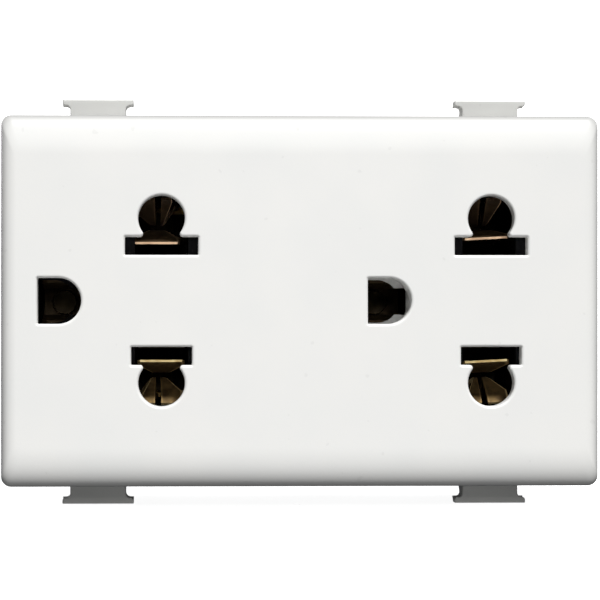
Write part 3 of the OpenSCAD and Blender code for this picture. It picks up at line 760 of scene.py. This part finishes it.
# The catch is a T-shaped outline carried backwards; along the ramp each row is cut off at the ramp's
# height, and what stood above it is drawn in to the outline's width there. The last row is one point
# inside the tongue. The tongue is its own outline (depth, height) carried across.
def makeLatch(side, level):
    name, shape, skin = f"{level}_{side}_latch", latchShape, Skin()
    low, high = span(name)
    centre, tip = (low[0] + high[0]) / 2, max(-low[2], high[2])
    upright = 1 if level == "upper" else -1
    inner, outer = shape["tongue"]
    neck, bar, blend, edge = shape["neck"] / 2, shape["bar"] / 2, shape["blend"], shape["edge"]
    soft, blunt, tight = shape["footCorner"], shape["bluntCorner"], shape["tightCorner"]
    neckTop, base = tip - shape["barHeight"], outer - shape["sunk"]

    def place(points):
        return points * np.array([1, 1, upright]) + np.array([centre, 0, 0])

    outline = arcs((neck - soft, base + soft, soft, -90, 0),
                   (neck + blend, neckTop - blend, blend, 180, 90),
                   (bar - blunt, neckTop + blunt, blunt, -90, 0),
                   (bar - tight, tip - tight, tight, 0, 90),
                   (tight - bar, tip - tight, tight, 90, 180),
                   (blunt - bar, neckTop + blunt, blunt, 180, 270),
                   (-neck - blend, neckTop - blend, blend, 90, 0),
                   (soft - neck, base + soft, soft, 180, 270))
    grip, rampStart = shape["grip"], shape["grip"] + shape["flat"]
    front = [(-d, y) for d, y in rim(edge, grip)]
    rows = [carried(outline, front + [(0, rampStart)])]
    ramp = np.linspace(tip, base + 0.05, shape["rampRows"])
    ramp = np.sort(np.concatenate([ramp, [neckTop + 0.012, neckTop - 0.006]]))[::-1][1:]
    arc = np.radians(np.linspace(0, 90, 9))
    blendLevels = neckTop - blend + blend * np.sin(arc[1:]) - 0.001
    levels = np.concatenate([[base, neckTop - blend], blendLevels, [neckTop, tip]])
    widths = np.concatenate([[neck, neck], neck + blend * (1 - np.cos(arc[1:])), [bar, bar]])
    for top in ramp:
        y = rampStart + (tip - top) / (tip - outer + 0.1) * (shape["rampEnd"] - rampStart)
        width = np.interp(top, levels, widths)
        x, z = outline[0][:, 0], outline[0][:, 1]
        x = np.where(z > top, np.clip(x, -width, width), x)
        rows.append(np.stack([x, np.full(len(x), y), np.minimum(z, top)], -1)[None])
    rows.append(np.broadcast_to(np.array([0, shape["rampEnd"] - 0.3, base + 0.1]), rows[-1].shape))
    rows = np.concatenate(rows)
    worn = np.zeros(len(rows))
    worn[1:len(front) - 1] = 1
    skin.grid(place(rows), True, worn=worn)
    skin.fill([grown(outline, -edge)], grip, place=place)
    beadY, beadZ, bead = shape["bead"]
    corner, start = shape["tongueCorner"], shape["tongueFront"]
    under = 180 + math.degrees(math.asin((beadZ - inner) / bead))
    over = 540 - math.degrees(math.asin((outer - beadZ) / bead))
    strip = arcs((start + corner, inner + corner, corner, 180, 270), (beadY, beadZ, bead, under, over),
                 (start + corner, outer - corner, corner, 90, 180))
    ends = [(-d, -neck + y) for d, y in rim(edge, 0)]
    ends += [(d, -y) for d, y in ends[::-1]]

    def across(points):
        return place(points[..., [1, 0, 2]])

    skin.grid(across(carried(strip, ends)), True)
    for x in (-neck, neck):
        skin.fill([grown(strip, -edge)], x, place=across)
    piece = skin.finish(name.replace("_", "") + "Spring", [plastics["latch"]], "latch_plastic", name)
    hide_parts(name)


for level in ("upper", "lower"):
    for side in sides:
        makeLatch(side, level)


screwShape = {
    "radius": 1.75,
    "root": 1.5,
    "pitch": 0.6,
    "tip": 9.8,  # length below the head
    "head": 2.2,
    "headRadius": 3.25,
    "chamfer": 0.4,
    "slot": (2.72, 0.5),  # half length and half width of the long slot
    "cross": 1.9,  # half length of the short one
    "recess": 1.25,
    "recessCorner": 0.09,
    "recessRim": 0.07,
    "headRim": 0.1,  # rounding of the head's underside
    "intoHead": 0.3,  # how far the shank runs up into the head
    "fade": 0.5,  # length over which the thread fades at both ends
    "around": 20,  # points in a turn of the thread
    "rows": 8,  # and in a pitch
}


# The thread is a sheared grid: rows climb one pitch in a turn, so each row keeps its own radius, and
# the seam joins a row to the one a pitch further up; both ends are cut off level
def addThread(skin, bottom, top, place):
    shape = screwShape
    around, rows, fade = shape["around"], shape["rows"], shape["fade"]
    pitch, deep = shape["pitch"], shape["radius"] - shape["root"]
    row = np.arange(-rows, math.ceil((top - bottom) / pitch * rows) + 1)[:, None]
    column = np.arange(around + 1)[None]
    y = np.clip(bottom + pitch * (row / rows + column / around), bottom, top)
    ridge = np.clip(1.6 - np.abs((row / rows) % 1 - 0.5) * 4, 0, 1)
    lower, upper = np.clip((y - bottom) / fade, 0, 1), np.clip((top - y) / fade, 0, 1)
    radius = shape["root"] + deep * ridge * lower * upper
    turn = 2 * math.pi * column / around
    thread = np.stack([radius * np.cos(turn), y, radius * np.sin(turn)], -1)
    skin.grid(place(thread), worn=ridge * np.ones(y.shape))
    ring = shape["root"] * np.stack([np.cos(turn[0, :-1]), np.sin(turn[0, :-1])], -1)
    for depth in (bottom, top):
        skin.fill([ring], depth, place=place)


# The head is a circle carried along the profile of its edge. Its recess is a long and a short slot
# crossed, in one outline of four arms: two outward corners and a hollow one each.
def makeTerminalScrew(pole):
    shape, skin, name = screwShape, Skin(), pole + "_terminal_screw"
    low, high = span(name)
    centre = (low + high) / 2
    end = high[1]
    under = end - shape["head"]

    def place(points):
        return points + np.array([centre[0], 0, centre[2]])

    addThread(skin, under - shape["tip"], under + shape["intoHead"], place)
    head, chamfer, headRim = circle(shape["headRadius"]), shape["chamfer"], shape["headRim"]
    side = [(-headRim, under), (-0.03, under + 0.03), (0, under + headRim), (0, end - chamfer),
            (-0.05, end - chamfer + 0.08), (-chamfer, end)]
    skin.grid(place(carried(head, side)), True, worn=(0, 1, 1, 0, 1, 1))
    skin.fill([grown(head, -headRim)], under, place=place)
    long, half = shape["slot"]
    short, r = shape["cross"], shape["recessCorner"]
    corners = []
    for quarter, reach in enumerate((long, short, long, short)):
        turn = 90 * quarter
        cos, sin = round(math.cos(math.radians(turn))), round(math.sin(math.radians(turn)))
        quarterCorners = ((reach - r, r - half, -90, 0), (reach - r, half - r, 0, 90),
                          (half + r, half + r, 270, 180))
        for a, b, first, last in quarterCorners:
            corners.append((a * cos - b * sin, a * sin + b * cos, r, first + turn, last + turn))
    recess, recessRim = arcs(*corners), shape["recessRim"]
    wall = [(recessRim, end), (0.02, end - 0.02), (0, end - recessRim), (0, end - shape["recess"])]
    skin.grid(place(carried(recess, wall)), True, worn=(1, 1, 0, 0))
    skin.fill([grown(head, -chamfer), grown(recess, recessRim)], end, place=place)
    skin.fill([recess[0]], end - shape["recess"], place=place)
    piece = skin.finish(pole + "TerminalScrew", [metals["screw"]], "terminal_screw_steel", pole + "_screw")
    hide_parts(name)


for pole in ("line", "neutral", "earth"):
    makeTerminalScrew(pole)


bevelAngle = 35  # edges that turn by more than this many degrees are rounded
# node: name, material, slot and width of the rounded edges
softened = {
    "contact_carrier": ("carrierBlock", "carrier", "carrier_plastic", 0.12),
    "rear_body": ("rearHousing", "body", "body_plastic", 0.2),
    "line_bus": ("lineBar", "busBar", "bus_brass", 0.08),
    "neutral_bus": ("neutralBar", "busBar", "bus_brass", 0.08),
    "earth_bus": ("earthBar", "busBar", "bus_brass", 0.08),
    "earth_contact_left": ("earthClipLeft", "earthSheet", "contact_brass", 0.06),
    "earth_contact_right": ("earthClipRight", "earthSheet", "contact_brass", 0.06),
    "contact_rivets": ("rivetHeads", "rivet", "rivet_metal", 0.12),
    "terminal_nuts": ("squareNuts", "nut", "nut_steel", 0.12),
    "housing_screws": ("housingScrews", "screw", "housing_screw_steel", 0.1),
    "line_clamp_plate": ("lineClamp", "clampPlate", "clamp_brass", 0.12),
    "neutral_clamp_plate": ("neutralClamp", "clampPlate", "clamp_brass", 0.12),
    "earth_clamp_plate": ("earthClamp", "clampPlate", "clamp_brass", 0.12),
}


# A merged copy of the node, its flat sides joined up, with a bevel on every sharp edge
def soften(node, name, look, slot, width):
    source = frame["nodes"][node]
    mesh = source.data.copy()
    mesh.name = name
    mesh.transform(source.matrix_world)
    shell = bmesh.new()
    shell.from_mesh(mesh)
    bmesh.ops.remove_doubles(shell, verts=shell.verts, dist=1e-6)
    bmesh.ops.dissolve_limit(shell, angle_limit=math.radians(0.5), verts=shell.verts, edges=shell.edges)
    bmesh.ops.recalc_face_normals(shell, faces=shell.faces)
    shell.to_mesh(mesh)
    shell.free()
    mesh.shade_smooth()
    mesh.materials.clear()
    mesh.materials.append(plastics.get(look) or metals[look])
    mesh.polygons.foreach_set("material_index", np.zeros(len(mesh.polygons), int))
    piece = bpy.data.objects.new(name, mesh)
    bpy.context.collection.objects.link(piece)
    bevel = piece.modifiers.new("edges", "BEVEL")
    bevel.width = width * mm
    bevel.segments = 2
    bevel.limit_method = "ANGLE"
    bevel.angle_limit = math.radians(bevelAngle)
    flat = piece.modifiers.new("normals", "WEIGHTED_NORMAL")
    flat.mode, flat.weight = "FACE_AREA", 100
    if look in wornMetals:
        mesh.materials.append(wornMetals[look])
        bevel.material = 1
    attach(piece, node.replace("_plate", "") if "clamp" in node else "outlet")
    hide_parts(node)
    print(name, len(mesh.polygons), "faces before its bevel")


for node, parts in softened.items():
    soften(node, *parts)


studio = {
    "radius": 900,  # of the round floor, up to its wall
    "curve": 300,  # radius where the floor turns up into the wall
    "wallHeight": 1100,
    "rings": (0.5, 60, 200),  # radii of the flat floor's rings
    "curveRows": 25,
    "around": 96,
    "paper": (0.93, 0.93, 0.93),
    "glow": 0.9,  # the paper's own light, which keeps it white
    "glowColor": (1.0, 1.0, 1.0),
    "shade": 0.985,  # the darkest of the paper's clouds
    "cloudSize": 40,
    "keyStrength": 3.8,
    "keyFrom": (0.14, -0.57, 0.81),  # direction that the main light comes from
    "keyDistance": 500,
    "keyAngle": 9,  # degrees across, for soft shadows
    # place, size and power of the soft boxes in front and behind
    "boxes": {"upperBox": ((10, -430, 100), 100, 0.28), "lowerBox": ((20, -400, -160), 120, 0.2),
              "leftBackBox": ((-380, 340, 170), 260, 0.8), "rightBackBox": ((340, 380, 240), 260, 1.0)},
    "sky": 0.08,
    "skyColor": (0.93, 0.96, 1, 1),
}


# Round paper floor that curves up into a wall: a line, a quarter circle and a line in section,
# turned all the way round. It lights nothing, so the object's underside stays in its own shade.
def makeFloor():
    low, radius, curve = cadLow[2] / mm, studio["radius"], studio["curve"]
    rings = studio["rings"]
    angle = np.linspace(0, math.pi / 2, studio["curveRows"])
    run = np.concatenate([rings, radius - curve + curve * np.sin(angle), [radius]])
    rise = np.concatenate([[0] * len(rings), curve * (1 - np.cos(angle)), [studio["wallHeight"]]]) + low
    turn = np.linspace(0, 2 * math.pi, studio["around"], endpoint=False)
    x, y = run[:, None] * np.cos(turn), run[:, None] * np.sin(turn)
    points = np.stack(np.broadcast_arrays(x, y, rise[:, None]), -1)
    skin = Skin()
    skin.grid(points, True)
    mesh = bpy.data.meshes.new("floor")
    middle = len(turn) * len(run)
    fan = [[middle, i, (i + 1) % len(turn)] for i in range(len(turn))]
    mesh.from_pydata(np.vstack([skin.points[0], [[0, 0, low]]]) * mm, [], skin.faces + fan)
    mesh.shade_smooth()
    look = Look("floorPaper", Roughness=0.9, Emission_Strength=studio["glow"])
    look.set("Emission Color", studio["glowColor"])
    shade = tuple(c * studio["shade"] for c in studio["paper"])
    clouds = look.between(look.cloud(studio["cloudSize"], 3), 0.3, 0.7)
    look.set("Base Color", look.blend(clouds, studio["paper"], shade))
    mesh.materials.append(look.material)
    piece = bpy.data.objects.new("floor", mesh)
    bpy.context.collection.objects.link(piece)
    piece.visible_diffuse = False
    piece.visible_glossy = False
    piece.visible_shadow = False


# A light at a place in millimetres, turned towards the middle of the face
def addLight(name, kind, place, **settings):
    light = bpy.data.lights.new(name, kind)
    for key, value in settings.items():
        setattr(light, key, value)
    lamp = bpy.data.objects.new(name, light)
    lamp.location = Vector(place) * mm
    lamp.rotation_euler = (Vector((0, faceY, 0)) - Vector(place)).to_track_quat("-Z", "Y").to_euler()
    bpy.context.collection.objects.link(lamp)


makeFloor()
keyPlace = [studio["keyDistance"] * c for c in studio["keyFrom"]]
addLight("key", "SUN", keyPlace, energy=studio["keyStrength"], angle=math.radians(studio["keyAngle"]))
for name, (place, size, power) in studio["boxes"].items():
    addLight(name, "AREA", place, energy=power, size=size * mm)
world = bpy.data.worlds.new("studio")
world.use_nodes = True
background = world.node_tree.nodes["Background"]
background.inputs["Color"].default_value = studio["skyColor"]
background.inputs["Strength"].default_value = studio["sky"]
bpy.context.scene.world = world
bpy.context.scene.view_settings.view_transform = "Standard"

view = {
    "eye": (-15.8, -2.55),  # the viewpoint's x and z
    "distance": 300,  # from the face
    "yaw": 2,  # degrees to the right
    "width": 69.16,  # what the view takes in at the face
    "aim": (-0.126, 0.105),  # centre of the view on the face
    "sensor": 36,
    "clip": (0.01, 10),  # in metres
}


# The lens makes the view the given width at the face; the shift brings the face to its middle
def makeCamera():
    camera = bpy.data.cameras.new("camera")
    rig = bpy.data.objects.new("camera", camera)
    bpy.context.collection.objects.link(rig)
    yaw = math.radians(view["yaw"])
    eye = Vector((view["eye"][0], faceY - view["distance"], view["eye"][1]))
    to = Vector((view["aim"][0], faceY, view["aim"][1])) - eye
    along = to.x * math.sin(yaw) + to.y * math.cos(yaw)
    aside = to.x * math.cos(yaw) - to.y * math.sin(yaw)
    rig.location = eye * mm
    rig.rotation_euler = (math.pi / 2, 0, -yaw)
    camera.sensor_width = view["sensor"]
    camera.lens = view["sensor"] * along / view["width"]
    camera.shift_x, camera.shift_y = aside / view["width"], to.z / view["width"]
    camera.clip_start, camera.clip_end = view["clip"]
    bpy.context.scene.camera = rig
    print("camera", round(camera.lens, 1), "mm, shift", round(camera.shift_x, 4), round(camera.shift_y, 4))


makeCamera()
print("scene made")
